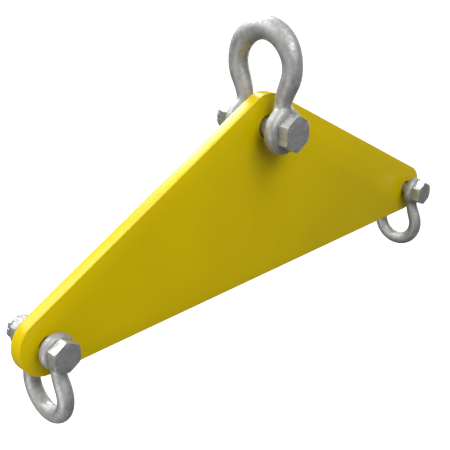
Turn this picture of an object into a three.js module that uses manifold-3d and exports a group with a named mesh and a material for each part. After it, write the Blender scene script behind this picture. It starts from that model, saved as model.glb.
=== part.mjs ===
// Triangular spreader plate for lifting gear: one thick plate with three eye holes, hung from a large
// bow shackle at its top corner, with a smaller bow shackle hanging from each lower corner.
// Millimetres, +Z up. The origin is the bearing point inside the top shackle's crown, where a crane
// hook carries the whole assembly. The pins lie along Y, and the bolt heads are on the -Y side.

import * as THREE from 'three';
import { mergeVertices } from 'three/addons/utils/BufferGeometryUtils.js';
import Module from 'manifold-3d';

const wasm = await Module();
wasm.setup();

// ---------------------------------------------------------------- driving dimensions

const FIT_GAP = 0.3;          // between faces that touch on the real object
const HOLE_SPAN = 1000;       // between the two lower hole centres
const HOLE_RISE = 250;        // from the lower hole centres up to the top hole centre

const PLATE = {
  thickness: 25,
  topCornerRadius: 62,        // round the top hole
  lowerCornerRadius: 52,      // round each lower hole
  topHoleRadius: 22.5,
  lowerHoleRadius: 17,
  edgeChamfer: 1.5,
};

// Both shackles are drawn in their own frame: pin along Y through the origin, bow towards +Z.
const TOP_SHACKLE = {
  crownStock: 43,             // bow bar diameter at the crown
  stock: 37,                  // bow bar diameter down its sides
  neckStock: 31.5,            // bow bar diameter above an ear
  rootStock: 20,              // bow bar diameter where it ends inside an ear
  bowRadius: 65,              // centreline of the round of the bow
  insideLength: 156.5,        // pin centre to inside of the crown
  earOffset: 48.5,            // pin centre to the middle of an ear, along Y
  earThickness: 28,
  earRadius: 44.5,
  earRim: 12.5,               // rounding of the ear's rim
  pin: 40,                    // bolt body diameter
  thread: 35,
  threadEnd: 105,             // end of the bolt, along Y
  tipChamfer: 2.8,
  across: 60.5,               // head and nut, across flats
  headHeight: 21.5,
  nutHeight: 20,              // hexagonal part of the nut
  crownHeight: 14,            // slotted part of the nut
  crownRadius: 24.5,
  crownEdge: 1.5,             // chamfer round the crown's end
  slotWidth: 8,
  splitPin: 6,
  slotTurn: -65,              // degrees from +X to the slot that holds the split pin's eye
};

const LOWER_SHACKLE = {
  crownStock: 27.6,
  stock: 27.3,
  neckStock: 24,
  rootStock: 17,
  bowRadius: 47,
  insideLength: 116,
  earOffset: 33.75,
  earThickness: 20.5,
  earRadius: 30,
  earRim: 9,
  pin: 29,
  thread: 25,
  threadEnd: 80,
  tipChamfer: 2,
  across: 46.5,
  headHeight: 19.3,
  nutHeight: 16.5,
  crownHeight: 12.5,
  crownRadius: 20,
  crownEdge: 1.2,
  slotWidth: 6.5,
  splitPin: 5,
  slotTurn: -17,
};

const BORE_PLAY = 0.75;       // radial play of a bolt in the ears
const THREAD_PLAY = 0.4;      // radial play of the nut's bore on the thread
const DRILL_PLAY = 0.5;       // radial play of a split pin in its bolt
const SHOULDER_BACK = 2;      // the bolt's body ends this far short of the nut
const BOW_SPREAD = 112;       // degrees of the round of the bow on each side of its crown
const CONE = Math.PI / 6;     // chamfer on the corners of heads and nuts
const CONE_START = 0.53;      // radius where that chamfer starts, as a share of the width across flats
const OVERLAP = 1;            // how far joined solids run into each other
const SLOT_FLOOR = 0.6;       // the nut's slots end this far above its hexagon

const FINISH = {
  plate: { color: 0xe6c300, roughness: 0.45, metalness: 0.0 },
  bow: { color: 0x9c9c96, roughness: 0.42, metalness: 0.9 },
  bolt: { color: 0x94958f, roughness: 0.38, metalness: 0.9 },
  nut: { color: 0xa0a19b, roughness: 0.38, metalness: 0.9 },
  splitPin: { color: 0xaeb0ad, roughness: 0.3, metalness: 0.95 },
};

// ---------------------------------------------------------------- solids and joins

/** Makes a manifold solid of a closed three.js geometry, moved by an optional matrix. */
function solid(geometry, matrix = new THREE.Matrix4()) {
  const bare = geometry.clone();
  bare.deleteAttribute('normal');
  bare.deleteAttribute('uv');
  bare.applyMatrix4(matrix);
  const merged = mergeVertices(bare, 1e-4);
  const corners = merged.index.array;
  const kept = [];
  for (let i = 0; i < corners.length; i += 3) {
    const [a, b, c] = [corners[i], corners[i + 1], corners[i + 2]];
    if (a !== b && b !== c && c !== a) kept.push(a, b, c);
  }
  return new wasm.Manifold(new wasm.Mesh({
    numProp: 3,
    vertProperties: new Float32Array(merged.attributes.position.array),
    triVerts: new Uint32Array(kept),
  }));
}

/** Gives a manifold solid back as a three.js mesh with its name and finish. */
function named(name, body, finish) {
  const mesh = body.getMesh();
  const geometry = new THREE.BufferGeometry();
  geometry.setAttribute('position', new THREE.BufferAttribute(new Float32Array(mesh.vertProperties), 3));
  geometry.setIndex(new THREE.BufferAttribute(new Uint32Array(mesh.triVerts), 1));
  geometry.computeVertexNormals();
  const part = new THREE.Mesh(geometry, new THREE.MeshStandardMaterial(finish));
  part.name = name;
  return part;
}

const shift = (x, y, z) => new THREE.Matrix4().makeTranslation(x, y, z);
const turnY = (degrees) => new THREE.Matrix4().makeRotationY(THREE.MathUtils.degToRad(degrees));

/** A rod along Y, from one Y to the other. */
function rod(radius, fromY, toY, sides = 32) {
  return solid(new THREE.CylinderGeometry(radius, radius, toY - fromY, sides),
    shift(0, (fromY + toY) / 2, 0));
}

/** A solid of revolution about Y of [radius, y] corners, closed on the axis. */
function turned(corners, sides = 32) {
  const profile = corners.map(([radius, y]) => new THREE.Vector2(radius, y));
  return solid(new THREE.LatheGeometry(profile, sides));
}

/** A hexagonal bar along Y with a corner on top, its corners cut back by a cone at the ends named. */
function hexagon(across, fromY, toY, chamferLow, chamferHigh) {
  const cornerRadius = across / Math.sqrt(3);
  const bar = solid(new THREE.CylinderGeometry(cornerRadius, cornerRadius, toY - fromY, 6),
    shift(0, (fromY + toY) / 2, 0));
  const coneRadius = across * CONE_START;
  const reach = cornerRadius + OVERLAP;
  const drop = (reach - coneRadius) * Math.tan(CONE);
  const corners = [[0, fromY], [chamferLow ? coneRadius : reach, fromY]];
  if (chamferLow) corners.push([reach, fromY + drop]);
  if (chamferHigh) corners.push([reach, toY - drop]);
  corners.push([chamferHigh ? coneRadius : reach, toY], [0, toY]);
  return bar.intersect(turned(corners, 48));
}

// ---------------------------------------------------------------- spreader plate

/** Outline round three circles: straight tangents between arcs that share the holes' centres. */
function plateOutline() {
  const circles = [
    { x: -HOLE_SPAN / 2, z: 0, r: PLATE.lowerCornerRadius },
    { x: HOLE_SPAN / 2, z: 0, r: PLATE.lowerCornerRadius },
    { x: 0, z: HOLE_RISE, r: PLATE.topCornerRadius },
  ];
  const normals = circles.map((from, i) => {
    const to = circles[(i + 1) % 3];
    const along = Math.atan2(to.z - from.z, to.x - from.x);
    const length = Math.hypot(to.x - from.x, to.z - from.z);
    return along - Math.PI / 2 + Math.asin((to.r - from.r) / length);
  });
  const outline = new THREE.Shape();
  circles.forEach(({ x, z, r }, i) => {
    outline.absarc(x, z, r, normals[(i + 2) % 3], normals[i], false);
  });
  outline.closePath();
  return { outline, circles };
}

function spreaderPlate() {
  const { outline, circles } = plateOutline();
  const { thickness, edgeChamfer } = PLATE;
  const slab = new THREE.ExtrudeGeometry(outline, {
    depth: thickness - 2 * edgeChamfer,
    bevelEnabled: true,
    bevelThickness: edgeChamfer,
    bevelSize: edgeChamfer,
    bevelOffset: -edgeChamfer,
    bevelSegments: 1,
    curveSegments: 12,
  });
  // The outline is drawn in X and Z, so the extrusion is stood up to run along Y.
  const stand = new THREE.Matrix4().makeRotationX(Math.PI / 2)
    .premultiply(shift(0, thickness / 2 - edgeChamfer, 0));
  let plate = solid(slab, stand);
  circles.forEach(({ x, z }, i) => {
    const radius = i === 2 ? PLATE.topHoleRadius : PLATE.lowerHoleRadius;
    const hole = rod(radius, -thickness, thickness, 48).translate(x, 0, z);
    plate = plate.subtract(hole);
  });
  return plate;
}

// ---------------------------------------------------------------- shackle bow

/** Centreline of a bow in the YZ plane: round crown, then necks that curve down into the ears. */
class BowLine extends THREE.Curve {
  constructor(spec) {
    super();
    this.arcLengthDivisions = 400;
    this.spec = spec;
    this.centre = spec.insideLength + spec.crownStock / 2 - spec.bowRadius;
    this.spread = THREE.MathUtils.degToRad(BOW_SPREAD);
    this.neckShare = 0.2;     // share of the line's parameter for each neck
    const start = this.onRound(this.spread);
    const lean = new THREE.Vector2(Math.cos(this.spread), -Math.sin(this.spread));
    this.neck = new THREE.CubicBezierCurve(
      new THREE.Vector2(spec.earOffset, spec.earRadius * 0.3),
      new THREE.Vector2(spec.earOffset * 0.8, spec.earRadius * 1.05),
      start.clone().addScaledVector(lean, spec.bowRadius * 0.38),
      start,
    );
  }

  /** Point on the round part, by its angle from the top of the crown. */
  onRound(angle) {
    const { bowRadius } = this.spec;
    return new THREE.Vector2(bowRadius * Math.sin(angle), this.centre + bowRadius * Math.cos(angle));
  }

  getPoint(t, target = new THREE.Vector3()) {
    const mirrored = t > 0.5;
    const half = mirrored ? 1 - t : t;
    let point;
    if (half < this.neckShare) {
      point = this.neck.getPoint(half / this.neckShare);
    } else {
      const along = (half - this.neckShare) / (0.5 - this.neckShare);
      point = this.onRound(this.spread * (1 - along));
    }
    return target.set(0, mirrored ? -point.x : point.x, point.y);
  }

  /** Bar radius at a height: thin inside the ear, waisted at the neck, thickest at the crown. */
  radiusAt(z) {
    const { earRadius, bowRadius, rootStock, neckStock, stock, crownStock } = this.spec;
    const heights = [0, earRadius * 0.95, earRadius * 1.15, earRadius * 2, this.centre,
      this.centre + bowRadius];
    const stocks = [rootStock, neckStock, neckStock, stock, stock, crownStock];
    const above = heights.findIndex((height) => z < height);
    if (above < 0) return crownStock / 2;
    const share = (z - heights[above - 1]) / (heights[above] - heights[above - 1]);
    return THREE.MathUtils.lerp(stocks[above - 1], stocks[above], share) / 2;
  }
}

/** The bow's bar as rings of points round its centreline, closed at both ends. */
function bowBar(line, steps, sides) {
  const positions = [];
  for (let i = 0; i <= steps; i += 1) {
    const centre = line.getPointAt(i / steps);
    const tangent = line.getTangentAt(i / steps);
    const radius = line.radiusAt(centre.z);
    for (let k = 0; k < sides; k += 1) {
      const angle = (k / sides) * Math.PI * 2;
      const out = radius * Math.sin(angle);
      positions.push(radius * Math.cos(angle), centre.y + tangent.z * out, centre.z - tangent.y * out);
    }
  }
  const corners = [];
  for (let i = 0; i < steps; i += 1) {
    for (let k = 0; k < sides; k += 1) {
      const next = (k + 1) % sides;
      const [a, b, c, d] = [i * sides + k, i * sides + next, (i + 1) * sides + next, (i + 1) * sides + k];
      corners.push(a, b, c, a, c, d);
    }
  }
  const last = steps * sides;
  for (let k = 1; k < sides - 1; k += 1) {
    corners.push(0, k + 1, k, last, last + k, last + k + 1);
  }
  const geometry = new THREE.BufferGeometry();
  geometry.setAttribute('position', new THREE.Float32BufferAttribute(positions, 3));
  geometry.setIndex(corners);
  return solid(geometry);
}

/** A disc about Y with a rounded rim: the ear of a bow before it is bored. */
function ear(spec) {
  const half = spec.earThickness / 2;
  const rimSteps = 2;
  const corners = [[0, -half]];
  for (const end of [-1, 1]) {
    for (let i = 0; i <= rimSteps; i += 1) {
      const angle = (Math.PI / 2) * (end < 0 ? i / rimSteps - 1 : i / rimSteps);
      corners.push([
        spec.earRadius - spec.earRim + spec.earRim * Math.cos(angle),
        end * (half - spec.earRim) + spec.earRim * Math.sin(angle),
      ]);
    }
  }
  corners.push([0, half]);
  return turned(corners, 28);
}

function shackleBow(spec) {
  let bow = bowBar(new BowLine(spec), 40, 14);
  for (const side of [-1, 1]) bow = bow.add(ear(spec).translate(0, side * spec.earOffset, 0));
  const reach = bearing(spec);
  return bow.subtract(rod(spec.pin / 2 + BORE_PLAY, -reach, reach));
}

// ---------------------------------------------------------------- bolt, castle nut, split pin

/** Y of the outer face of an ear, where the head and the nut bear. */
const bearing = (spec) => spec.earOffset + spec.earThickness / 2 + FIT_GAP;

/** Y of the split pin, halfway up the slotted crown of the nut. */
const splitPinY = (spec) => bearing(spec) + spec.nutHeight + spec.crownHeight / 2;

/** Matrix that takes the split pin's own X axis to its slot in the nut. */
const intoSlot = (spec) => turnY(-spec.slotTurn).premultiply(shift(0, splitPinY(spec), 0));

function bolt(spec) {
  const headInner = -bearing(spec);
  const shoulder = bearing(spec) - SHOULDER_BACK;
  const shank = turned([
    [0, headInner - OVERLAP],
    [spec.pin / 2, headInner - OVERLAP],
    [spec.pin / 2, shoulder],
    [spec.thread / 2, shoulder],
    [spec.thread / 2, spec.threadEnd - spec.tipChamfer],
    [spec.thread / 2 - spec.tipChamfer, spec.threadEnd],
    [0, spec.threadEnd],
  ]);
  const head = hexagon(spec.across, headInner - spec.headHeight, headInner, true, false);
  const drill = spec.splitPin / 2 + DRILL_PLAY;
  const crossHole = solid(
    new THREE.CylinderGeometry(drill, drill, spec.thread * 2, 12),
    new THREE.Matrix4().makeRotationZ(Math.PI / 2).premultiply(intoSlot(spec)),
  );
  return shank.add(head).subtract(crossHole);
}

function castleNut(spec) {
  const inner = bearing(spec);
  const shoulder = inner + spec.nutHeight;
  const top = shoulder + spec.crownHeight;
  const crown = turned([
    [0, shoulder - OVERLAP],
    [spec.crownRadius, shoulder - OVERLAP],
    [spec.crownRadius, top - spec.crownEdge],
    [spec.crownRadius - spec.crownEdge, top],
    [0, top],
  ]);
  let nut = hexagon(spec.across, inner, shoulder, true, true).add(crown);
  nut = nut.subtract(rod(spec.thread / 2 + THREAD_PLAY, inner - OVERLAP, top + OVERLAP));
  for (const angle of [0, 60, 120]) {
    const slot = new THREE.BoxGeometry(spec.crownRadius * 3, spec.crownHeight, spec.slotWidth);
    const place = turnY(-spec.slotTurn - angle)
      .premultiply(shift(0, shoulder + spec.crownHeight / 2 + SLOT_FLOOR, 0));
    nut = nut.subtract(solid(slot, place));
  }
  return nut;
}

/** Curved run of round wire through the given points. */
function wire(diameter, points, steps) {
  const section = new THREE.Shape();
  section.absarc(0, 0, diameter / 2, 0, Math.PI * 2, false);
  return solid(new THREE.ExtrudeGeometry(section, {
    steps,
    curveSegments: 4,
    bevelEnabled: false,
    extrudePath: new THREE.CatmullRomCurve3(points.map(([x, y, z]) => new THREE.Vector3(x, y, z))),
  }));
}

/** Split pin along its own X: eye past the crown on +X, two legs bent round the crown on -X. */
function splitPin(spec) {
  const d = spec.splitPin;
  const r = spec.crownRadius;
  const flat = new THREE.Matrix4().makeRotationX(Math.PI / 2);
  const eye = solid(new THREE.TorusGeometry(d * 0.95, d * 0.28, 6, 14), flat)
    .translate(r + d * 1.05, 0, 0);
  let pin = wire(d, [[r + d * 0.15, 0, 0], [0, 0, 0], [-r * 0.8, 0, 0]], 1).add(eye);
  for (const side of [-1, 1]) {
    pin = pin.add(wire(d * 0.55, [
      [-r * 0.75, 0, side * d * 0.2],
      [-r - d * 0.35, 0, side * d * 0.35],
      [-r - d * 0.3, 0, side * d * 1.4],
      [-r * 0.93, 0, side * d * 2.7],
    ], 6));
  }
  return pin.transform(intoSlot(spec).elements);
}

// ---------------------------------------------------------------- assembly

/** The four pieces of one shackle, each in its own node, with the bow up (0) or down (180). */
function shackle(name, spec, bowTurn) {
  const group = new THREE.Group();
  const bow = named(`${name}_bow`, shackleBow(spec), FINISH.bow);
  bow.rotation.y = THREE.MathUtils.degToRad(bowTurn);
  group.add(
    bow,
    named(`${name}_bolt`, bolt(spec), FINISH.bolt),
    named(`${name}_nut`, castleNut(spec), FINISH.nut),
    named(`${name}_split_pin`, splitPin(spec), FINISH.splitPin),
  );
  return group;
}

const assembly = new THREE.Group();
const plateGroup = new THREE.Group();
plateGroup.position.z = -TOP_SHACKLE.insideLength - HOLE_RISE;
plateGroup.add(named('spreader_plate', spreaderPlate(), FINISH.plate));

const topShackle = shackle('top', TOP_SHACKLE, 0);
topShackle.position.z = HOLE_RISE;
const leftShackle = shackle('left', LOWER_SHACKLE, 180);
leftShackle.position.x = -HOLE_SPAN / 2;
const rightShackle = shackle('right', LOWER_SHACKLE, 180);
rightShackle.position.x = HOLE_SPAN / 2;
plateGroup.add(topShackle, leftShackle, rightShackle);
assembly.add(plateGroup);

export default assembly;
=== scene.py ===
"""Looks of a triangular spreader plate with its three bow shackles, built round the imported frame.

Meshes are worked out in millimetres round their own pin and put into Blender in metres, in the
frame's axes: +X along the plate, +Y from the bolt heads to the nuts, +Z up.
"""

import logging
import math
from dataclasses import dataclass, field
from enum import Enum

import bpy
import numpy as np
from mathutils import Matrix, Vector

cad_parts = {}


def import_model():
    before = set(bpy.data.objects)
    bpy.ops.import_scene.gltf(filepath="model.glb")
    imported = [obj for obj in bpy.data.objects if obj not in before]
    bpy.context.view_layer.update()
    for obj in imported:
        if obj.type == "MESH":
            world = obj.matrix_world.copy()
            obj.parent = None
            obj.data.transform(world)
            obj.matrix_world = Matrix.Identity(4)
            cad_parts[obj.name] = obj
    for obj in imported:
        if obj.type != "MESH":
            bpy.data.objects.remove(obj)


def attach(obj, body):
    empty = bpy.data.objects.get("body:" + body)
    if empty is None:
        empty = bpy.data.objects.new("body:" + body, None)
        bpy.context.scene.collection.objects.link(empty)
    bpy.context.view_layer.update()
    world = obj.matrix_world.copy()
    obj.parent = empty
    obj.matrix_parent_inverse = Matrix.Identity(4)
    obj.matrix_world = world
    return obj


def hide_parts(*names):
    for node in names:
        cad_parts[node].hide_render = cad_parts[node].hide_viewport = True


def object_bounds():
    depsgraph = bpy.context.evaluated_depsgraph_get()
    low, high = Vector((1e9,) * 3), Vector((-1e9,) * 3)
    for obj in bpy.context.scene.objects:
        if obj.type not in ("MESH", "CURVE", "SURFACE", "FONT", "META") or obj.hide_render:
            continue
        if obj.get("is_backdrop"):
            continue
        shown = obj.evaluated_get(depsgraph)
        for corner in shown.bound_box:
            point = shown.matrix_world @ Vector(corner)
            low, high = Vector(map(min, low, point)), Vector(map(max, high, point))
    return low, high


Array = np.ndarray
Value = float | tuple[float, ...] | bpy.types.NodeSocket

log = logging.getLogger("spreader")

MM = 0.001                       # metres in a millimetre
SHARP_ANGLE = math.radians(32)   # edges steeper than this are shaded as edges
TIGHT = 0.3                      # gap between faces that touch on the real object, mm
CONE_START = 0.53                # radius where a hexagon's chamfer starts, over its width
HEX_ANGLES = 144                 # points round each row of a hexagonal surface
QUARTER_SAG = 0.3                # how far in a quarter round's middle is, over its radius
BOLT_WAY = np.array([0.0, 1.0, 0.0])  # from a bolt's head to its nut


class Slot(Enum):
    """Material slots of the record."""

    PLATE = "plate_paint"
    BOW = "bow_galvanised"
    BOLT = "bolt_galvanised"
    NUT = "nut_galvanised"
    SPLIT_PIN = "split_pin_steel"


class Hang(Enum):
    """Which way a bow points from its pin: the sign of its height."""

    UP = 1
    DOWN = -1


class Operation(Enum):
    """How one solid is combined with another."""

    UNION = "UNION"
    DIFFERENCE = "DIFFERENCE"


# ---------------------------------------------------------------- closed surfaces


@dataclass
class Shell:
    """A closed surface as plain arrays, in millimetres.

    Attributes:
        points: Vertex positions, one row each.
        faces: Vertex numbers of each face.
    """

    points: Array
    faces: list[list[int]]

    def volume(self) -> float:
        """Returns the signed volume, which is positive where the faces point outwards."""
        fans = np.array([(f[0], a, b) for f in self.faces for a, b in zip(f[1:], f[2:])])
        a, b, c = (self.points[fans[:, i]] for i in range(3))
        return float(np.einsum("ij,ij->i", a, np.cross(b, c)).sum() / 6.0)

    def outward(self) -> "Shell":
        """Returns the same surface with its faces turned to point outwards."""
        if self.volume() >= 0.0:
            return self
        return Shell(self.points, [face[::-1] for face in self.faces])

    def moved(self, matrix: Array, offset: tuple[float, float, float]) -> "Shell":
        """Returns the surface turned by a 3 x 3 matrix and then moved.

        Args:
            matrix: Rotation whose columns are the turned axes.
            offset: Move in millimetres.

        Returns:
            The moved surface.
        """
        return Shell(self.points @ matrix.T + np.array(offset), self.faces)


def quads(rows: int, columns: int, wrap_rows: bool) -> Array:
    """Corner numbers of the quads of a grid whose columns close on themselves.

    Args:
        rows: Number of rows in the grid.
        columns: Number of points in each row.
        wrap_rows: True joins the last row to the first, as on a ring.

    Returns:
        An array of four vertex numbers for each quad.
    """
    last = rows if wrap_rows else rows - 1
    r, c = np.meshgrid(np.arange(last), np.arange(columns), indexing="ij")
    up, right = (r + 1) % rows, (c + 1) % columns
    corners = (r * columns + c, r * columns + right, up * columns + right, up * columns + c)
    return np.stack([k.ravel() for k in corners], axis=1)


def capped(grid: Array) -> Shell:
    """Closes a tube of rows with a fan onto the middle of its first row and of its last row.

    Args:
        grid: Points as rows x columns x 3.

    Returns:
        The closed surface.
    """
    rows, columns, _ = grid.shape
    points = np.concatenate([grid.reshape(-1, 3), grid[:1].mean(1), grid[-1:].mean(1)])
    faces = quads(rows, columns, False).tolist()
    ring = np.arange(columns)
    following = (ring + 1) % columns
    start, end = rows * columns, rows * columns + 1
    top = (rows - 1) * columns
    faces += np.stack([following, ring, np.full(columns, start)], axis=1).tolist()
    faces += np.stack([top + ring, top + following, np.full(columns, end)], axis=1).tolist()
    return Shell(points, faces).outward()


def ringed(grid: Array) -> Shell:
    """Closes a grid in both directions, as the surface of a nut or a ring.

    Args:
        grid: Points as rows x columns x 3.

    Returns:
        The closed surface.
    """
    rows, columns, _ = grid.shape
    return Shell(grid.reshape(-1, 3), quads(rows, columns, True).tolist()).outward()


def about_y(radii: Array, heights: Array, angles: Array) -> Array:
    """Points round the Y axis: x is radius times cosine, z is radius times sine, y is height.

    Args:
        radii: Radius for each row and angle.
        heights: Y for each row and angle.
        angles: Angle from +X towards +Z, in radians.

    Returns:
        A grid of points as rows x angles x 3.
    """
    radii, heights, turn = np.broadcast_arrays(radii, heights, angles[None, :])
    return np.stack([radii * np.cos(turn), heights, radii * np.sin(turn)], axis=-1)


def circle_angles(count: int) -> Array:
    """Returns that many even angles of a full turn, in radians."""
    return np.arange(count) * (2.0 * math.pi / count)


def turned(profile: list[tuple[float, float]], sides: int) -> Shell:
    """Solid of revolution about Y.

    Args:
        profile: Corners as (radius, y), from one end to the other.
        sides: Points round each row.

    Returns:
        The closed surface, its two ends filled.
    """
    corners = np.array(profile, float)
    return capped(about_y(corners[:, :1], corners[:, 1:], circle_angles(sides)))


def hex_radius(across: float, angles: Array) -> Array:
    """Radius of a hexagon with its flats facing +X and -X.

    Half the width across flats is divided by the cosine of the angle to the nearest flat.

    Args:
        across: Width across flats.
        angles: Angles from +X in radians.

    Returns:
        The radius at each angle.
    """
    sixth = math.pi / 3.0
    from_flat = (angles + sixth / 2.0) % sixth - sixth / 2.0
    return across / 2.0 / np.cos(from_flat)


def chamfer_drop(across: float, angles: Array) -> tuple[Array, Array, Array]:
    """Where a 30 degree cone cuts the corners of a hexagonal bar.

    The cone starts on the end face and falls by tan 30 for each millimetre further out, so its
    cut on the hexagon's sides is a row of scallops.

    Args:
        across: Width across flats.
        angles: Angles from +X in radians.

    Returns:
        The radius of the end face at each angle, the hexagon's radius and the drop.
    """
    outer = hex_radius(across, angles)
    face = np.minimum(outer, across * CONE_START)
    return face, outer, (outer - face) * math.tan(math.pi / 6.0)


def swept(path: Array, section: Array, across: Array) -> Array:
    """Carries a flat section along a path that stays in one plane.

    At each point the section's first coordinate runs along the path's left normal in the plane
    and its second along the fixed direction across the plane.

    Args:
        path: Points in the plane as n x 2, in the plane's X and Z.
        section: Corners as m x 2.
        across: Unit direction across the plane.

    Returns:
        A grid of points as n x m x 3.
    """
    tangent = np.gradient(path, axis=0)
    tangent /= np.linalg.norm(tangent, axis=1, keepdims=True)
    left = np.stack([-tangent[:, 1], np.zeros(len(path)), tangent[:, 0]], axis=1)
    middle = np.stack([path[:, 0], np.zeros(len(path)), path[:, 1]], axis=1)
    return (middle[:, None] + left[:, None] * section[None, :, :1]
            + across[None, None] * section[None, :, 1:])


def rounded(corners: Array, times: int) -> Array:
    """Rounds a polyline by cutting every corner a quarter of the way along its sides.

    Args:
        corners: Corners as n x 2.
        times: How often the cutting is repeated.

    Returns:
        The rounder polyline, with the same two ends.
    """
    for _ in range(times):
        near = 0.75 * corners[:-1] + 0.25 * corners[1:]
        far = 0.25 * corners[:-1] + 0.75 * corners[1:]
        between = np.stack([near, far], axis=1).reshape(-1, corners.shape[1])
        corners = np.concatenate([corners[:1], between, corners[-1:]])
    return corners


# ---------------------------------------------------------------- Blender objects


def new_object(name: str, shell: Shell) -> bpy.types.Object:
    """Makes one mesh object at the origin out of a closed surface in millimetres.

    Args:
        name: Name of the object and of its mesh.
        shell: The surface, in the frame's axes.

    Returns:
        The object, in the scene's collection.
    """
    mesh = bpy.data.meshes.new(name)
    mesh.from_pydata((shell.points * MM).tolist(), [], shell.faces)
    mesh.update()
    made = bpy.data.objects.new(name, mesh)
    bpy.context.scene.collection.objects.link(made)
    return made


def settle(piece: bpy.types.Object) -> None:
    """Replaces a piece's mesh by what its modifiers make of it, and removes the modifiers."""
    graph = bpy.context.evaluated_depsgraph_get()
    made = bpy.data.meshes.new_from_object(piece.evaluated_get(graph))
    old, name = piece.data, piece.data.name
    piece.modifiers.clear()
    piece.data = made
    bpy.data.meshes.remove(old)
    made.name = name


def combine(piece: bpy.types.Object, operation: Operation, shells: list[Shell]) -> None:
    """Joins closed surfaces to a piece or cuts them out of it, and leaves the result in its mesh.

    Args:
        piece: The object that changes.
        operation: Whether the surfaces are added or taken away.
        shells: The surfaces, in millimetres in the frame's axes.
    """
    tools = [new_object(f"{piece.name}_tool_{i}", shell) for i, shell in enumerate(shells)]
    for tool in tools:
        step = piece.modifiers.new(tool.name, "BOOLEAN")
        step.operation = operation.value
        step.solver = "EXACT"
        step.object = tool
    settle(piece)
    for tool in tools:
        mesh = tool.data
        bpy.data.objects.remove(tool)
        bpy.data.meshes.remove(mesh)


def soften(piece: bpy.types.Object, width: float, segments: int) -> None:
    """Rounds the sharp edges of a piece with a small bevel.

    Args:
        piece: The object.
        width: Width of the rounding in millimetres.
        segments: Faces across the rounding.
    """
    bevel = piece.modifiers.new("edge_rounding", "BEVEL")
    bevel.width = width * MM
    bevel.segments = segments
    bevel.limit_method = "ANGLE"
    bevel.angle_limit = SHARP_ANGLE
    settle(piece)


def dress(piece: bpy.types.Object, material: bpy.types.Material, body: str) -> None:
    """Gives a piece its shading, material, slot and body, and hides the CAD node it stands for.

    Args:
        piece: The object, whose name is "visual_" and the CAD node's name.
        material: Its finish.
        body: The CAD body that the piece moves with.
    """
    piece.data.materials.clear()
    piece.data.materials.append(material)
    piece.data.shade_smooth()
    piece.data.set_sharp_from_angle(angle=SHARP_ANGLE)
    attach(piece, body)
    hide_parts(piece.name.removeprefix("visual_"))
    piece.data.calc_loop_triangles()
    log.info("%s: %d triangles on %s", piece.name, len(piece.data.loop_triangles), body)


# ---------------------------------------------------------------- finishes


class NodeBench:
    """Adds and wires the shader nodes of one material."""

    def __init__(self, name: str) -> None:
        """Starts an empty material of that name with object coordinates to hand."""
        self.material = bpy.data.materials.new(name)
        self.material.use_nodes = True
        self.tree = self.material.node_tree
        self.tree.nodes.clear()
        self.place = self.node("ShaderNodeTexCoord").outputs["Object"]

    def node(self, kind: str, inputs: dict[str | int, Value] | None = None,
             **settings: object) -> bpy.types.Node:
        """Adds a node.

        Args:
            kind: Blender's type name.
            inputs: A number, a colour or a socket for each input.
            settings: Properties of the node.

        Returns:
            The new node.
        """
        made = self.tree.nodes.new(kind)
        for key, value in settings.items():
            setattr(made, key, value)
        for key, value in (inputs or {}).items():
            if isinstance(value, bpy.types.NodeSocket):
                self.tree.links.new(value, made.inputs[key])
            else:
                made.inputs[key].default_value = value
        return made

    def noise(self, per_metre: float, detail: float, output: str = "Fac") -> bpy.types.NodeSocket:
        """Returns cloudy noise from 0 to 1 with that many waves in a metre."""
        return self.node("ShaderNodeTexNoise", {
            "Vector": self.place, "Scale": per_metre, "Detail": detail}).outputs[output]

    def calculate(self, operation: str, *terms: Value) -> bpy.types.NodeSocket:
        """Returns the result of a Math node, such as MULTIPLY, on its terms."""
        return self.node("ShaderNodeMath", dict(enumerate(terms)), operation=operation).outputs[0]

    def stretch(self, value: Value, before: tuple[float, float],
                after: tuple[float, float]) -> bpy.types.NodeSocket:
        """Returns a value moved from one range to another and held at its ends."""
        return self.node("ShaderNodeMapRange", {
            "Value": value, "From Min": before[0], "From Max": before[1],
            "To Min": after[0], "To Max": after[1]}).outputs["Result"]

    def blend(self, share: Value, low: Value, high: Value) -> bpy.types.NodeSocket:
        """Returns a colour that goes from low to high as the share goes from 0 to 1."""
        mixed = self.node("ShaderNodeMix", {0: share, 6: low, 7: high}, data_type="RGBA")
        return mixed.outputs[2]

    def bump(self, height: Value, depth: float, strength: float,
             below: bpy.types.NodeSocket | None = None) -> bpy.types.NodeSocket:
        """Returns a normal for a height from 0 to 1 that stands for a depth in millimetres."""
        inputs = {"Height": height, "Distance": depth * MM, "Strength": strength}
        if below is not None:
            inputs["Normal"] = below
        return self.node("ShaderNodeBump", inputs).outputs["Normal"]

    def surface(self, inputs: dict[str | int, Value]) -> bpy.types.Material:
        """Ends the material with a Principled shader of those inputs, and returns it."""
        shader = self.node("ShaderNodeBsdfPrincipled", inputs)
        self.node("ShaderNodeOutputMaterial", {"Surface": shader.outputs[0]})
        return self.material


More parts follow.
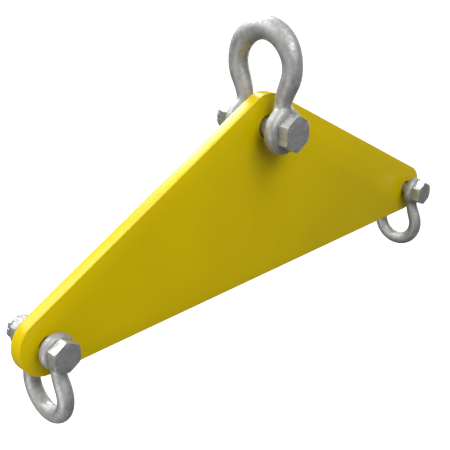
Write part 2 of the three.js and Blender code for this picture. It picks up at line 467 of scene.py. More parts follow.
@dataclass(frozen=True)
class PlatePaint:
    """Semi-gloss paint on rolled plate, with a faint orange peel and thicker and thinner films.

    Attributes:
        name: Name of the material.
        full: Colour of a full film.
        thin: Colour where the film is thinner.
        roughness: Lowest and highest roughness.
        gloss: Strength of the reflection at the film's face, where 0.5 is plain lacquer.
        film_per_metre: Changes of the film's thickness in a metre.
        waves_per_metre: Waves of the rolled plate in a metre.
        waves: Depth of those waves in millimetres.
        peel_per_metre: Waves of orange peel in a metre.
        peel: Depth of the orange peel in millimetres.
    """

    name: str = "plate_paint"
    full: tuple[float, float, float, float] = (0.60, 0.450, 0.0, 1.0)
    thin: tuple[float, float, float, float] = (0.57, 0.425, 0.0, 1.0)
    roughness: tuple[float, float] = (0.20, 0.29)
    gloss: float = 0.17
    film_per_metre: float = 6.0
    waves_per_metre: float = 40.0
    waves: float = 0.12
    peel_per_metre: float = 420.0
    peel: float = 0.03

    def material(self) -> bpy.types.Material:
        """Builds the paint's node tree and returns its material."""
        bench = NodeBench(self.name)
        film = bench.noise(self.film_per_metre, 4.0)
        peel = bench.noise(self.peel_per_metre, 1.0)
        waves = bench.noise(self.waves_per_metre, 2.0)
        thinness = bench.stretch(film, (0.35, 0.65), (0.0, 1.0))
        normal = bench.bump(waves, self.waves, 0.5)
        return bench.surface({
            "Base Color": bench.blend(thinness, self.full, self.thin),
            "Roughness": bench.stretch(film, (0.3, 0.7), self.roughness),
            "Specular IOR Level": self.gloss,
            "Normal": bench.bump(peel, self.peel, 0.6, normal),
        })


@dataclass(frozen=True)
class Zinc:
    """Hot-dip zinc: crystals a few millimetres wide that differ in tone and sheen, on lumpy metal.

    Attributes:
        name: Name of the material.
        dark: Colour of the darkest crystals.
        light: Colour of the lightest crystals.
        roughness: Lowest and highest roughness.
        crystals_per_metre: Crystals in a metre.
        lumps: Depth of the forging's unevenness in millimetres.
        lumps_per_metre: Lumps of the forging in a metre.
        patches_per_metre: Patches of lighter and darker crystals in a metre.
        grain_per_metre: Grains of the fine texture in a metre.
        facets: Step between neighbouring crystals in millimetres.
        grain: Depth of the fine texture in millimetres.
        wander_per_metre: Bends of the crystals' borders in a metre.
        wander: How far the borders wander, in metres.
        metallic: Share of bare metal; the rest is its dull white bloom.
    """

    name: str
    dark: tuple[float, float, float, float]
    light: tuple[float, float, float, float]
    roughness: tuple[float, float]
    crystals_per_metre: float = 170.0
    lumps: float = 0.35
    lumps_per_metre: float = 70.0
    patches_per_metre: float = 26.0
    grain_per_metre: float = 900.0
    facets: float = 0.05
    grain: float = 0.02
    wander_per_metre: float = 260.0
    wander: float = 0.006
    metallic: float = 0.8

    def material(self) -> bpy.types.Material:
        """Builds the zinc's node tree and returns its material."""
        bench = NodeBench(self.name)
        shifted = bench.node("ShaderNodeVectorMath", {
            0: bench.noise(self.wander_per_metre, 2.0, "Color"), 1: (self.wander,) * 3,
            2: bench.place}, operation="MULTIPLY_ADD").outputs[0]
        crystal = bench.node("ShaderNodeTexVoronoi", {
            "Vector": shifted, "Scale": self.crystals_per_metre}).outputs["Color"]
        parts = bench.node("ShaderNodeSeparateColor", {0: crystal}).outputs
        cloud = bench.noise(self.patches_per_metre, 3.0)
        patches = bench.stretch(cloud, (0.35, 0.65), (0.0, 1.0))
        tone, sheen = (
            bench.calculate("MULTIPLY_ADD", crystals, share,
                            bench.calculate("MULTIPLY", patches, 1.0 - share))
            for crystals, share in ((parts[0], 0.7), (parts[1], 0.8)))
        lumps = bench.bump(bench.noise(self.lumps_per_metre, 3.0), self.lumps, 0.55)
        facets = bench.bump(parts[2], self.facets, 0.35, lumps)
        grain = bench.noise(self.grain_per_metre, 2.0)
        return bench.surface({
            "Base Color": bench.blend(tone, self.dark, self.light),
            "Metallic": self.metallic,
            "Roughness": bench.stretch(sheen, (0.1, 0.9), self.roughness),
            "Normal": bench.bump(grain, self.grain, 0.4, facets),
        })


@dataclass(frozen=True)
class Finishes:
    """One material for each slot of the record."""

    plate: bpy.types.Material
    bow: bpy.types.Material
    bolt: bpy.types.Material
    nut: bpy.types.Material
    split_pin: bpy.types.Material

    @staticmethod
    def mixed() -> "Finishes":
        """Builds every material and returns the set."""
        return Finishes(
            plate=PlatePaint().material(),
            bow=Zinc("bow_galvanised", (0.35, 0.35, 0.345, 1.0), (0.47, 0.47, 0.465, 1.0),
                     (0.48, 0.70)).material(),
            bolt=Zinc("bolt_galvanised", (0.36, 0.36, 0.36, 1.0), (0.50, 0.50, 0.50, 1.0),
                      (0.42, 0.56), 240.0, 0.15).material(),
            nut=Zinc("nut_galvanised", (0.29, 0.29, 0.285, 1.0), (0.41, 0.41, 0.405, 1.0),
                     (0.50, 0.64), 240.0, 0.15).material(),
            split_pin=Zinc("split_pin_steel", (0.55, 0.55, 0.55, 1.0), (0.70, 0.70, 0.70, 1.0),
                           (0.22, 0.34), 500.0, 0.03).material(),
        )


# ---------------------------------------------------------------- spreader plate


@dataclass(frozen=True)
class SpreaderPlate:
    """The triangular plate, in millimetres.

    Attributes:
        hole_span: Between the two lower holes.
        hole_rise: From the lower holes up to the top hole.
        top_z: Height of the top hole's axis in the frame.
        thickness: Thickness along Y.
        top_corner: Radius of the corner round the top hole.
        lower_corner: Radius of the corners round the lower holes.
        top_hole: Radius of the top hole.
        lower_hole: Radius of the lower holes.
        edge: Rounding along the edges.
        flare: Countersink where a hole leaves each face.
        arc_points: Points along the arc of each corner.
        hole_sides: Points round each hole.
    """

    hole_span: float = 1000.0
    hole_rise: float = 250.0
    top_z: float = -156.5
    thickness: float = 25.0
    top_corner: float = 62.0
    lower_corner: float = 52.0
    top_hole: float = 22.5
    lower_hole: float = 17.0
    edge: float = 1.2
    flare: float = 1.0
    arc_points: int = 56
    hole_sides: int = 96

    def holes(self) -> list[tuple[float, float, float, float]]:
        """Returns (x, z, corner radius, hole radius) of the left, right and top holes."""
        low = self.top_z - self.hole_rise
        half = self.hole_span / 2.0
        return [(-half, low, self.lower_corner, self.lower_hole),
                (half, low, self.lower_corner, self.lower_hole),
                (0.0, self.top_z, self.top_corner, self.top_hole)]

    def outline(self) -> Array:
        """Outline as straight tangents between arcs that share the holes' centres.

        The outward normal of a side leans from the line between two centres by the arcsine of the
        difference of their radii over their distance, and each arc runs between two such normals.

        Returns:
            Points as n x 2, counter-clockwise in X and Z.
        """
        corners = self.holes()
        normals = []
        for (x, z, r, _), (to_x, to_z, to_r, _) in zip(corners, corners[1:] + corners[:1]):
            along = math.atan2(to_z - z, to_x - x)
            lean = math.asin((to_r - r) / math.hypot(to_x - x, to_z - z))
            normals.append(along - math.pi / 2.0 + lean)
        arcs = []
        for i, (x, z, r, _) in enumerate(corners):
            start, end = normals[i - 1], normals[i]
            while end < start:
                end += 2.0 * math.pi
            angle = np.linspace(start, end, self.arc_points)
            arcs.append(np.stack([x + r * np.cos(angle), z + r * np.sin(angle)], axis=1))
        return np.concatenate(arcs)

    def slab(self) -> Shell:
        """Returns the outline carried through the plate's thickness, with a face at each side."""
        line = self.outline()
        count, half = len(line), self.thickness / 2.0
        sides = [np.insert(line, 1, y, axis=1) for y in (-half, half)]
        ring = np.arange(count)
        following = (ring + 1) % count
        walls = np.stack([ring, following, count + following, count + ring], axis=1).tolist()
        ends = [ring[::-1].tolist(), (count + ring).tolist()]
        return Shell(np.concatenate(sides), walls + ends).outward()

    def hole_cutter(self, x: float, z: float, radius: float) -> Shell:
        """Returns a cylinder through the plate at one hole, flared where it leaves each face."""
        straight, past = self.thickness / 2.0 - self.flare, 6.0
        profile = [(radius + past, -straight - past), (radius, -straight),
                   (radius, straight), (radius + past, straight + past)]
        return turned(profile, self.hole_sides).moved(np.eye(3), (x, 0.0, z))

    def build(self, finishes: Finishes) -> None:
        """Builds and dresses the plate."""
        piece = new_object("visual_spreader_plate", self.slab())
        soften(piece, self.edge, 3)
        cutters = [self.hole_cutter(x, z, hole) for x, z, _, hole in self.holes()]
        combine(piece, Operation.DIFFERENCE, cutters)
        dress(piece, finishes.plate, "plate")


# ---------------------------------------------------------------- shackles


@dataclass(frozen=True)
class ShackleSizes:
    """Sizes of one shackle in millimetres, in its own frame: pin along Y, bow towards +Z.

    Attributes:
        crown: Diameter of the bow's bar at the crown.
        stock: Diameter of the bar down its sides.
        neck: Diameter of the bar above an ear.
        bow_radius: Radius of the round of the bow at the middle of the bar.
        inside_length: Pin's axis to the inside of the crown.
        ear_offset: Pin's middle to the middle of an ear, along Y.
        ear_thickness: Thickness of an ear.
        ear_radius: Radius of an ear.
        ear_rim: Rounding of an ear's rim.
        weld: Radius of the forged fillet between the neck and the ear.
        pin: Diameter of the bolt's body.
        thread: Outer diameter of the thread.
        pitch: Pitch of the thread.
        thread_end: End of the bolt, along Y.
        across: Width across flats of the head and of the nut.
        head_height: Height of the head.
        nut_height: Height of the nut's hexagon.
        crown_height: Height of the nut's slotted crown.
        crown_radius: Radius of the crown.
        slot_width: Width of a slot.
        split_pin: Diameter of the split pin.
        slot_turn: Angle of the split pin's eye from +X, in degrees.
    """

    crown: float
    stock: float
    neck: float
    bow_radius: float
    inside_length: float
    ear_offset: float
    ear_thickness: float
    ear_radius: float
    ear_rim: float
    weld: float
    pin: float
    thread: float
    pitch: float
    thread_end: float
    across: float
    head_height: float
    nut_height: float
    crown_height: float
    crown_radius: float
    slot_width: float
    split_pin: float
    slot_turn: float

    @property
    def outer_face(self) -> float:
        """Y of the outer face of an ear."""
        return self.ear_offset + self.ear_thickness / 2.0

    @property
    def bearing(self) -> float:
        """Y of the faces of the head and the nut that bear on the ears."""
        return self.outer_face + TIGHT

    @property
    def split_pin_y(self) -> float:
        """Y of the split pin, halfway up the crown."""
        return self.bearing + self.nut_height + self.crown_height / 2.0

    def slot_axes(self, turn: float = 0.0) -> Array:
        """Axes of a slot of the nut, and of the split pin in it.

        Args:
            turn: Angle from the split pin's slot, in degrees.

        Returns:
            A 3 x 3 matrix whose columns run along the slot, along the bolt and across the slot.
        """
        angle = math.radians(self.slot_turn + turn)
        cos, sin = math.cos(angle), math.sin(angle)
        return np.array([[cos, 0.0, -sin], [0.0, 1.0, 0.0], [sin, 0.0, cos]])


TOP = ShackleSizes(
    crown=43.0, stock=37.0, neck=31.5, bow_radius=65.0, inside_length=156.5, ear_offset=48.5,
    ear_thickness=28.0, ear_radius=44.5, ear_rim=12.5, weld=8.0, pin=40.0, thread=35.0, pitch=4.0,
    thread_end=105.0, across=60.5, head_height=21.5, nut_height=20.0, crown_height=14.0,
    crown_radius=24.5, slot_width=8.0, split_pin=6.0, slot_turn=-65.0)

LOWER = ShackleSizes(
    crown=27.6, stock=27.3, neck=24.0, bow_radius=47.0, inside_length=116.0, ear_offset=33.75,
    ear_thickness=20.5, ear_radius=30.0, ear_rim=9.0, weld=6.5, pin=29.0, thread=25.0, pitch=3.0,
    thread_end=80.0, across=46.5, head_height=19.3, nut_height=16.5, crown_height=12.5,
    crown_radius=20.0, slot_width=6.5, split_pin=5.0, slot_turn=-17.0)


@dataclass(frozen=True)
class Bow:
    """The forged bow of a shackle: a round bar whose two ends are welded by the forging into ears.

    The surface is found by rays. Each ray starts on the bar's centreline, in a plane across it,
    and stops where a smooth union of the bar and the ears ends.

    Attributes:
        sizes: The shackle's sizes.
        round_angle: From the top of the crown to where its round ends, in radians.
        line_start: Height where the centreline starts, over the ear's radius.
        neck_handle: Place of the centreline's handle at the neck, over the ear's offset and radius.
        round_handle: Length of its handle at the round, over the round's radius.
        neck_heights: Bottom and top of the neck and where the full bar starts, over the ear's radius.
        root: Radius of the bar inside the ear, over the ear's thickness.
        bore_play: Gap between the bore and the pin, mm.
        bore_flare: Chamfer at the mouth of the bore, mm.
        angles: Rays in each row, and sides of each bore.
        line_points: Rows along the round of one half; its neck has half as many.
        ear_rows: Rows from the bottom of the ear to the pin's axis.
        lift_rows: Rows from there to the start of the centreline.
        steps: Steps that each ray takes.
        stride: How much of its depth a ray goes forward in a step.
    """

    sizes: ShackleSizes
    round_angle: float = math.radians(112.0)
    line_start: float = 0.3
    neck_handle: tuple[float, float] = (0.8, 1.05)
    round_handle: float = 0.38
    neck_heights: tuple[float, float, float] = (0.95, 1.15, 2.0)
    root: float = 0.36
    bore_play: float = 0.75
    bore_flare: float = 0.8
    angles: int = 72
    line_points: int = 96
    ear_rows: int = 34
    lift_rows: int = 8
    steps: int = 36
    stride: float = 0.95

    def half_line(self) -> Array:
        """Centreline in Y and Z from an ear up to the top of the crown.

        A cubic Bezier curve leads from the ear to the round, and the round is an arc.

        Returns:
            Points as n x 2.
        """
        s = self.sizes
        centre = s.inside_length + s.crown / 2.0 - s.bow_radius
        arc = np.linspace(self.round_angle, 0.0, self.line_points)
        on_round = np.array([0.0, centre]) + s.bow_radius * np.stack([np.sin(arc), np.cos(arc)], axis=1)
        leave = np.array([math.cos(self.round_angle), -math.sin(self.round_angle)])
        corners = np.array([
            (s.ear_offset, s.ear_radius * self.line_start),
            (s.ear_offset * self.neck_handle[0], s.ear_radius * self.neck_handle[1]),
            on_round[0] + leave * s.bow_radius * self.round_handle,
            on_round[0],
        ])
        t = np.linspace(0.0, 1.0, self.line_points // 2, endpoint=False)[:, None]
        weights = ((1 - t) ** 3, 3 * t * (1 - t) ** 2, 3 * t ** 2 * (1 - t), t ** 3)
        neck = sum(w * corner for w, corner in zip(weights, corners))
        return np.concatenate([neck, on_round])

    def bar_radii(self, line: Array) -> Array:
        """Radius of the bar at each point of a centreline.

        It is thickest at the crown, narrows down the sides and again to the neck at the top of
        the ear, and narrows further inside the ear so that it never stands out of the ear's faces.

        Args:
            line: Points as n x 2.

        Returns:
            One radius for each point.
        """
        s = self.sizes
        top = s.inside_length + s.crown / 2.0
        heights = [0.0, *(s.ear_radius * share for share in self.neck_heights), top - s.bow_radius]
        widths = [s.ear_thickness * self.root, s.neck / 2.0, s.neck / 2.0, s.stock / 2.0,
                  s.stock / 2.0]
        side = np.interp(line[:, 1], heights, widths)
        rise = np.clip((line[:, 1] - top + s.bow_radius) / s.bow_radius, 0.0, 1.0)
        return side + (s.crown - s.stock) / 2.0 * rise * rise * (3.0 - 2.0 * rise)

    def depth(self, points: Array, line: Array, radii: Array) -> Array:
        """How far points are outside the bow; negative inside.

        The bar is the nearest of a row of balls along its centreline. An ear is a disc with a
        rounded rim. The two are joined by a smooth minimum whose width is the forged fillet.

        Args:
            points: Positions as ... x 3.
            line: Centreline as n x 2.
            radii: Radius of the bar at each of its points.

        Returns:
            One depth for each position.
        """
        s = self.sizes
        x, y, z = points[..., 0], points[..., 1], points[..., 2]
        bar = np.full(x.shape, np.inf)
        for (line_y, line_z), radius in zip(line, radii):
            ball = np.sqrt(x * x + (y - line_y) ** 2 + (z - line_z) ** 2) - radius
            np.minimum(bar, ball, out=bar)
        out = np.hypot(x, z) - (s.ear_radius - s.ear_rim)
        side = np.abs(y - s.ear_offset) - (s.ear_thickness / 2.0 - s.ear_rim)
        ear = np.hypot(np.maximum(out, 0.0), np.maximum(side, 0.0)) - s.ear_rim
        ear += np.minimum(np.maximum(out, side), 0.0)
        share = np.clip(0.5 + 0.5 * (bar - ear) / s.weld, 0.0, 1.0)
        return bar + (ear - bar) * share - s.weld * share * (1.0 - share)

    def half_surface(self) -> Array:
        """Grid of points from the bottom of one ear to the middle of the crown.

        Rows start as level slices of the ear and lean over to stand across the bar. A ray goes
        forward by its depth until it meets the surface.

        Returns:
            Points as rows x angles x 3, on the +Y side.
        """
        s, just_inside = self.sizes, 0.9995
        line = self.half_line()
        radii = self.bar_radii(line)
        low = np.linspace(0.0, 1.0, self.ear_rows, endpoint=False)
        ear_z = -s.ear_radius * np.cos(low * math.pi / 2.0) * just_inside
        lift = np.linspace(0.0, line[0, 1], self.lift_rows, endpoint=False)
        upright = np.concatenate([ear_z, lift])
        start = np.stack([np.full(len(upright), s.ear_offset), upright], axis=1)
        middles = np.concatenate([start, line])
        tangent = np.gradient(middles, axis=0)
        tilt = np.arctan2(tangent[:, 0], tangent[:, 1])
        ease = np.clip(middles[:, 1] / s.ear_radius, 0.0, 1.0)
        tilt *= ease * ease * (3.0 - 2.0 * ease)
        turn = circle_angles(self.angles)
        rays = np.stack([
            np.broadcast_to(np.cos(turn), (len(middles), self.angles)),
            np.cos(tilt)[:, None] * np.sin(turn),
            -np.sin(tilt)[:, None] * np.sin(turn),
        ], axis=-1)
        origin = np.insert(middles, 0, 0.0, axis=1)[:, None, :]
        reach = np.zeros((len(middles), self.angles, 1))
        for _ in range(self.steps):
            reach -= self.depth(origin + reach * rays, line, radii)[..., None] * self.stride
        return origin + reach * rays

    def shell(self) -> Shell:
        """Returns the whole bow, the +Y half and its mirror image in one closed surface."""
        half = self.half_surface()
        other = half[-2::-1] * np.array([1.0, -1.0, 1.0])
        return capped(np.concatenate([half, other]))

    def cutters(self) -> list[Shell]:
        """Returns what is machined off: the bore, and the spot face outside each ear."""
        s, flare = self.sizes, self.bore_flare
        bore, past_rim = s.pin / 2.0 + self.bore_play, s.ear_radius * 1.03
        profile = [(bore, s.ear_offset / 2.0), (bore, s.outer_face - flare),
                   (bore + flare, s.outer_face), (past_rim, s.outer_face),
                   (past_rim, s.outer_face + s.stock)]
        return [turned([(r, side * y) for r, y in profile], self.angles) for side in (-1.0, 1.0)]


@dataclass(frozen=True)
class Bolt:
    """The shackle's bolt: chamfered hexagon head, plain body, thread and a hole for the split pin.

    Attributes:
        sizes: The shackle's sizes.
        edge: Rounding along the head's edges, mm.
        overlap: How far the body reaches into the head, and stops short of the nut's bearing, mm.
        shoulder_chamfer: Chamfer where the body ends, mm.
        tip_chamfer: Chamfer at the end of the thread, over its outer diameter.
        thread_depth: Depth of the thread over its pitch.
        steps: Rows in each pitch.
        sides: Points round the shank.
    """

    sizes: ShackleSizes
    edge: float = 0.7
    overlap: float = 2.0
    shoulder_chamfer: float = 0.8
    tip_chamfer: float = 0.08
    thread_depth: float = 0.61
    steps: float = 10.0
    sides: int = 64

    def head(self) -> Shell:
        """Returns the head, its outer corners cut back by a cone and its bearing face flat."""
        s = self.sizes
        angles = circle_angles(HEX_ANGLES)
        face, outer, drop = chamfer_drop(s.across, angles)
        out, inner = -s.bearing - s.head_height, -s.bearing
        flat, middle = np.ones(len(angles)), face * 0.6
        radii = np.stack([middle, face, outer, outer, middle])
        heights = np.stack([flat * out, flat * out, out + drop, flat * inner, flat * inner])
        return capped(about_y(radii, heights, angles))

    def shank(self) -> Shell:
        """Body and thread in one surface.

        The thread's radius is its outer radius less a groove whose phase goes up by one for each
        pitch along Y and down by one for each turn. A cone cuts the thread's end back.

        Returns:
            The closed surface.
        """
        s, chamfer = self.sizes, self.shoulder_chamfer
        shoulder, tip = s.bearing - self.overlap, s.thread * self.tip_chamfer
        body, crest, flank, flat = s.pin / 2.0, s.thread / 2.0, 2.6, 0.15
        relief, end_inset = 1.0, 0.3
        angles = circle_angles(self.sides)
        step = s.pitch / self.steps
        y = np.arange(shoulder + step, s.thread_end, step)[:, None]
        phase = (y / s.pitch - angles[None, :] / (2.0 * math.pi)) % 1.0
        groove = np.clip(np.abs(phase - 0.5) * flank - flat, 0.0, 1.0)
        cone = crest - tip + (s.thread_end - y)
        thread = np.minimum(crest - self.thread_depth * s.pitch * groove, cone)
        plain = np.array([
            (body, -s.bearing - self.overlap), (body, shoulder - chamfer),
            (body - chamfer, shoulder), (crest - relief, shoulder)])
        end = np.array([(crest - tip - end_inset, s.thread_end)])
        all_round = np.ones(len(angles))
        return capped(about_y(
            np.concatenate([plain[:, :1] * all_round, thread, end[:, :1] * all_round]),
            np.concatenate([plain[:, 1:], y, end[:, 1:]]), angles))


@dataclass(frozen=True)
class CastleNut:
    """The castle nut: hexagon with both ends cut back, and a round crown with six slots.

    Attributes:
        sizes: The shackle's sizes.
        edge: Rounding along the sharp edges, mm.
        fillet: Rounding between the hexagon and the crown, mm.
        crown_edge: Rounding at the top of the crown, over its radius.
        bore_gap: Gap between the bore and the thread's crests, mm.
        lead: Countersink at each end of the bore, mm.
        slot_lift: How far the slots' bottoms stay above the hexagon, mm.
    """

    sizes: ShackleSizes
    edge: float = 0.35
    fillet: float = 1.2
    crown_edge: float = 0.06
    bore_gap: float = 0.4
    lead: float = 1.6
    slot_lift: float = 0.6

    def shell(self) -> Shell:
        """Returns the nut's surface, from its bore round the hexagon and the crown to the bore."""
        s, fillet, lead = self.sizes, self.fillet, self.lead
        angles = circle_angles(HEX_ANGLES)
        face, outer, drop = chamfer_drop(s.across, angles)
        bore, crown = s.thread / 2.0 + self.bore_gap, s.crown_radius
        inner, shoulder = s.bearing, s.bearing + s.nut_height
        top, edge = shoulder + s.crown_height, s.crown_radius * self.crown_edge
        rows = [
            (bore + lead, inner),
            (face, inner),
            (outer, inner + drop),
            (outer, shoulder - drop),
            (face, shoulder),
            (crown + fillet, shoulder),
            (crown + fillet * QUARTER_SAG, shoulder + fillet * QUARTER_SAG),
            (crown, shoulder + fillet),
            (crown, top - edge),
            (crown - edge * QUARTER_SAG, top - edge * QUARTER_SAG),
            (crown - edge, top),
            (bore + lead, top),
            (bore, top - lead),
            (bore, inner + lead),
        ]
        all_round = np.ones(len(angles))
        radii, heights = (np.stack([row[i] * all_round for row in rows]) for i in range(2))
        return ringed(about_y(radii, heights, angles))

    def slots(self) -> list[Shell]:
        """Returns three bars with a round bottom that cut the six slots."""
        s = self.sizes
        floor = s.bearing + s.nut_height + self.slot_lift
        half, reach, height = s.slot_width / 2.0, 1.7 * s.crown_radius, 3.0 * s.crown_height
        arc = np.linspace(math.pi, 2.0 * math.pi, 17)
        u = np.concatenate([half * np.cos(arc), [half, -half]])[:, None]
        v = np.concatenate([floor + half + half * np.sin(arc), [floor + height] * 2])[:, None]
        made = []
        for turn in (0.0, 60.0, 120.0):
            along, up, across = s.slot_axes(turn).T
            section = across * u + up * v
            made.append(capped(np.stack([section - along * reach, section + along * reach])))
        return made


@dataclass(frozen=True)
class SplitPin:
    """The split pin: half-round wire folded at an eye, its legs bent apart round the crown.

    Attributes:
        sizes: The shackle's sizes.
        fill: Diameter of the folded wire over the pin's size.
        hole_gap: Gap round the pin in its hole, mm.
    """

    sizes: ShackleSizes
    fill: float = 0.97
    hole_gap: float = 0.5

    def fold_line(self) -> Array:
        """Line of the wire's flat side, in the pin's own plane, from one tip to the other.

        One half is drawn as corners that are then rounded; the other half is its mirror image.

        Returns:
            Points as n x 2, the first coordinate along the pin.
        """
        d, r, gap = self.sizes.split_pin, self.sizes.crown_radius, 0.08
        bend = -r - 0.62 * d
        leg = [(-r * 0.88, 3.0 * d), (bend, 2.0 * d), (bend, 0.6 * d), (bend, gap + 0.05)]
        shank = [(-r, gap), (0.0, gap), (r, gap), (r + 0.25 * d, gap)]
        eye = [(r + 0.45 * d, 0.55 * d), (r + 0.95 * d, 0.78 * d), (r + 1.5 * d, 0.72 * d),
               (r + 1.85 * d, 0.4 * d), (r + 1.92 * d, 0.0)]
        half = np.array(leg + shank + eye)
        other = half[-2::-1] * np.array([1.0, -1.0])
        return rounded(np.concatenate([half, other]), 4)

    def wire(self) -> Shell:
        """Returns the half-round wire along the fold, in the frame of the shackle's pin."""
        s = self.sizes
        radius = s.split_pin / 2.0 * self.fill
        arc = np.linspace(-math.pi / 2.0, math.pi / 2.0, 15)
        section = np.stack([radius * np.cos(arc), radius * np.sin(arc)], axis=1)
        grid = swept(self.fold_line(), section, BOLT_WAY)
        return capped(grid).moved(s.slot_axes(), (0.0, s.split_pin_y, 0.0))

    def hole(self) -> Shell:
        """Returns the round bar that drills the bolt for the pin."""
        s = self.sizes
        radius, reach = s.split_pin / 2.0 + self.hole_gap, s.thread
        bar = turned([(radius, -reach), (radius, reach)], 32)
        bolt_way_first = s.slot_axes()[:, [1, 0, 2]]
        return bar.moved(bolt_way_first, (0.0, s.split_pin_y, 0.0)).outward()


@dataclass(frozen=True)
class BowShackle:
    """A whole shackle at one hole of the plate.

    Attributes:
        name: First word of its CAD nodes and bodies.
        sizes: Its sizes.
        hang: Whether the bow points up or down.
        axis: X and Z of its pin, in millimetres.
    """

    name: str
    sizes: ShackleSizes
    hang: Hang
    axis: tuple[float, float]

    def place(self, shell: Shell, turned_with_bow: bool = False) -> Shell:
        """Moves a surface from the shackle's frame to the object's frame.

        Args:
            shell: The surface.
            turned_with_bow: True turns it upside down with a bow that hangs down.

        Returns:
            The moved surface.
        """
        sign = float(self.hang.value) if turned_with_bow else 1.0
        return shell.moved(np.diag([sign, 1.0, sign]), (self.axis[0], 0.0, self.axis[1]))

    def build(self, finishes: Finishes) -> None:
        """Builds and dresses the bow, the bolt, the nut and the split pin."""
        bow_body, bolt_body = f"{self.name}_shackle", f"{self.name}_bolt_set"
        bow = Bow(self.sizes)
        piece = new_object(f"visual_{self.name}_bow", self.place(bow.shell(), True))
        cutters = [self.place(cutter, True) for cutter in bow.cutters()]
        combine(piece, Operation.DIFFERENCE, cutters)
        dress(piece, finishes.bow, bow_body)

        bolt, pin = Bolt(self.sizes), SplitPin(self.sizes)
        piece = new_object(f"visual_{self.name}_bolt", self.place(bolt.head()))
        soften(piece, bolt.edge, 2)
        combine(piece, Operation.UNION, [self.place(bolt.shank())])
        combine(piece, Operation.DIFFERENCE, [self.place(pin.hole())])
        dress(piece, finishes.bolt, bolt_body)

        nut = CastleNut(self.sizes)
        piece = new_object(f"visual_{self.name}_nut", self.place(nut.shell()))
        combine(piece, Operation.DIFFERENCE, [self.place(slot) for slot in nut.slots()])
        soften(piece, nut.edge, 1)
        dress(piece, finishes.nut, bolt_body)

        piece = new_object(f"visual_{self.name}_split_pin", self.place(pin.wire()))
        dress(piece, finishes.split_pin, bolt_body)


# ---------------------------------------------------------------- studio


@dataclass(frozen=True)
class Softbox:
    """A square area light that the camera doesn't see.

    Attributes:
        name: Its name.
        direction: From the object's middle towards the light.
        distance: Distance from the middle in metres.
        side: Side of the square in metres.
        radiance: Brightness of its face.
    """

    name: str
    direction: tuple[float, float, float]
    distance: float
    side: float
    radiance: float

    def hang(self, middle: Vector) -> None:
        """Puts the light in the scene, facing the middle of the object."""
        data = bpy.data.lights.new(self.name, "AREA")
        data.shape = "SQUARE"
        data.size = self.side
        data.energy = self.radiance * math.pi * self.side ** 2
        lamp = bpy.data.objects.new(self.name, data)
        way = Vector(self.direction).normalized()
        lamp.location = middle + way * self.distance
        lamp.rotation_euler = way.to_track_quat("Z", "Y").to_euler()
        lamp.visible_camera = False
        bpy.context.scene.collection.objects.link(lamp)


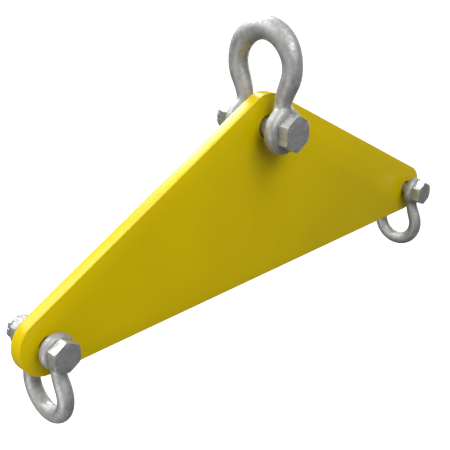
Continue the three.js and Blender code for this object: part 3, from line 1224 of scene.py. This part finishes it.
@dataclass(frozen=True)
class Studio:
    """Camera, pale floor, soft lights and an even sky.

    Attributes:
        camera_at: Camera's place in metres.
        azimuth: Direction the camera looks from, in degrees round Z from -Y.
        elevation: Height that it looks down from, in degrees.
        roll: Turn about the line of sight, in degrees.
        lens: Focal length for a 36 mm sensor.
        floor_z: Height of the floor in metres.
        floor_half: Half the side of the floor in metres.
        sky_low: Brightness of the sky below the horizon.
        sky_high: Brightness of the sky overhead.
        sky_rise: Z of the directions between which the sky goes from low to high.
        softboxes: The lights.
    """

    camera_at: tuple[float, float, float] = (-1.0796, -0.9551, 0.2532)
    azimuth: float = -45.765
    elevation: float = 22.967
    roll: float = 0.465
    lens: float = 64.4
    floor_z: float = -4.0
    floor_half: float = 40.0
    sky_low: float = 0.15
    sky_high: float = 0.48
    sky_rise: tuple[float, float] = (-0.5, 0.8)
    softboxes: tuple[Softbox, ...] = field(default_factory=lambda: (
        Softbox("key_softbox", (-0.42, 0.62, 0.66), 3.0, 1.9, 6.6),
        Softbox("back_softbox", (0.324, 0.706, 0.631), 3.0, 1.5, 15.0),
        Softbox("overhead_softbox", (0.0, -0.62, 0.78), 3.0, 1.6, 5.6),
        Softbox("right_softbox", (0.97, 0.15, -0.1), 2.4, 1.3, 3.0),
        Softbox("left_softbox", (-1.0, -0.1, -0.35), 1.8, 0.9, 4.0),
        Softbox("camera_softbox", (-0.35, -0.75, 0.56), 3.0, 1.2, 5.6),
    ))

    def set_camera(self) -> None:
        """Makes the scene's camera from its place, its line of sight and its roll."""
        az, el, roll = (math.radians(a) for a in (self.azimuth, self.elevation, self.roll))
        back = Vector((math.sin(az) * math.cos(el), -math.cos(az) * math.cos(el), math.sin(el)))
        right = Vector((math.cos(az), math.sin(az), 0.0))
        up = back.cross(right)
        rolled = right * math.cos(roll) + up * math.sin(roll)
        raised = up * math.cos(roll) - right * math.sin(roll)
        data = bpy.data.cameras.new("camera")
        data.lens = self.lens
        data.sensor_width = 36.0
        data.clip_start, data.clip_end = 0.05, 200.0
        camera = bpy.data.objects.new("camera", data)
        turn = Matrix((rolled, raised, back)).transposed().to_4x4()
        camera.matrix_world = Matrix.Translation(self.camera_at) @ turn
        bpy.context.scene.collection.objects.link(camera)
        bpy.context.scene.camera = camera

    def lay_floor(self) -> None:
        """Lays a pale floor far below the object, and keeps its colour off the metal."""
        side = self.floor_half
        corners = [(x * side, y * side, self.floor_z) for x, y in ((-1, -1), (1, -1), (1, 1), (-1, 1))]
        mesh = bpy.data.meshes.new("floor")
        mesh.from_pydata(corners, [], [(0, 1, 2, 3)])
        floor = bpy.data.objects.new("floor", mesh)
        bench = NodeBench("floor_card")
        speckle = bench.noise(3.0, 2.0)
        mesh.materials.append(bench.surface({
            "Base Color": bench.blend(speckle, (0.93, 0.93, 0.93, 1.0), (0.96, 0.96, 0.96, 1.0)),
            "Roughness": 0.9,
            "Emission Color": (1.0, 1.0, 1.0, 1.0),
            "Emission Strength": 0.8,
        }))
        floor.visible_diffuse = False
        floor.visible_glossy = False
        bpy.context.scene.collection.objects.link(floor)
        floor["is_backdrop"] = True

    def light_sky(self) -> None:
        """Makes the world: white where the camera sees it, brighter overhead than below."""
        world = bpy.data.worlds.new("studio")
        world.use_nodes = True
        nodes, links = world.node_tree.nodes, world.node_tree.links
        nodes.clear()
        way = nodes.new("ShaderNodeTexCoord")
        split = nodes.new("ShaderNodeSeparateXYZ")
        links.new(way.outputs["Generated"], split.inputs[0])
        rise = nodes.new("ShaderNodeMapRange")
        rise.interpolation_type = "SMOOTHSTEP"
        rise.inputs["From Min"].default_value, rise.inputs["From Max"].default_value = self.sky_rise
        rise.inputs["To Min"].default_value = self.sky_low
        rise.inputs["To Max"].default_value = self.sky_high
        links.new(split.outputs["Z"], rise.inputs["Value"])
        rays = nodes.new("ShaderNodeLightPath")
        seen = nodes.new("ShaderNodeMix")
        seen.inputs["B"].default_value = 1.0
        links.new(rays.outputs["Is Camera Ray"], seen.inputs["Factor"])
        links.new(rise.outputs["Result"], seen.inputs["A"])
        sky = nodes.new("ShaderNodeBackground")
        sky.inputs["Color"].default_value = (1.0, 1.0, 1.0, 1.0)
        links.new(seen.outputs["Result"], sky.inputs["Strength"])
        out = nodes.new("ShaderNodeOutputWorld")
        links.new(sky.outputs[0], out.inputs["Surface"])
        bpy.context.scene.world = world

    def build(self, middle: Vector) -> None:
        """Builds the whole studio round the middle of the object."""
        self.set_camera()
        self.lay_floor()
        self.light_sky()
        for softbox in self.softboxes:
            softbox.hang(middle)
        bpy.context.scene.view_settings.view_transform = "Standard"


def main() -> None:
    """Loads the frame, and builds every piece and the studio."""
    logging.basicConfig(level=logging.INFO, format="%(name)s: %(message)s")
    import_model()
    cad_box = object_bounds()
    middle = (cad_box[0] + cad_box[1]) / 2.0
    Studio().build(middle)
    finishes = Finishes.mixed()
    plate = SpreaderPlate()
    plate.build(finishes)
    left, right, top = plate.holes()
    BowShackle("top", TOP, Hang.UP, top[:2]).build(finishes)
    BowShackle("left", LOWER, Hang.DOWN, left[:2]).build(finishes)
    BowShackle("right", LOWER, Hang.DOWN, right[:2]).build(finishes)


if __name__ == "__main__":
    main()
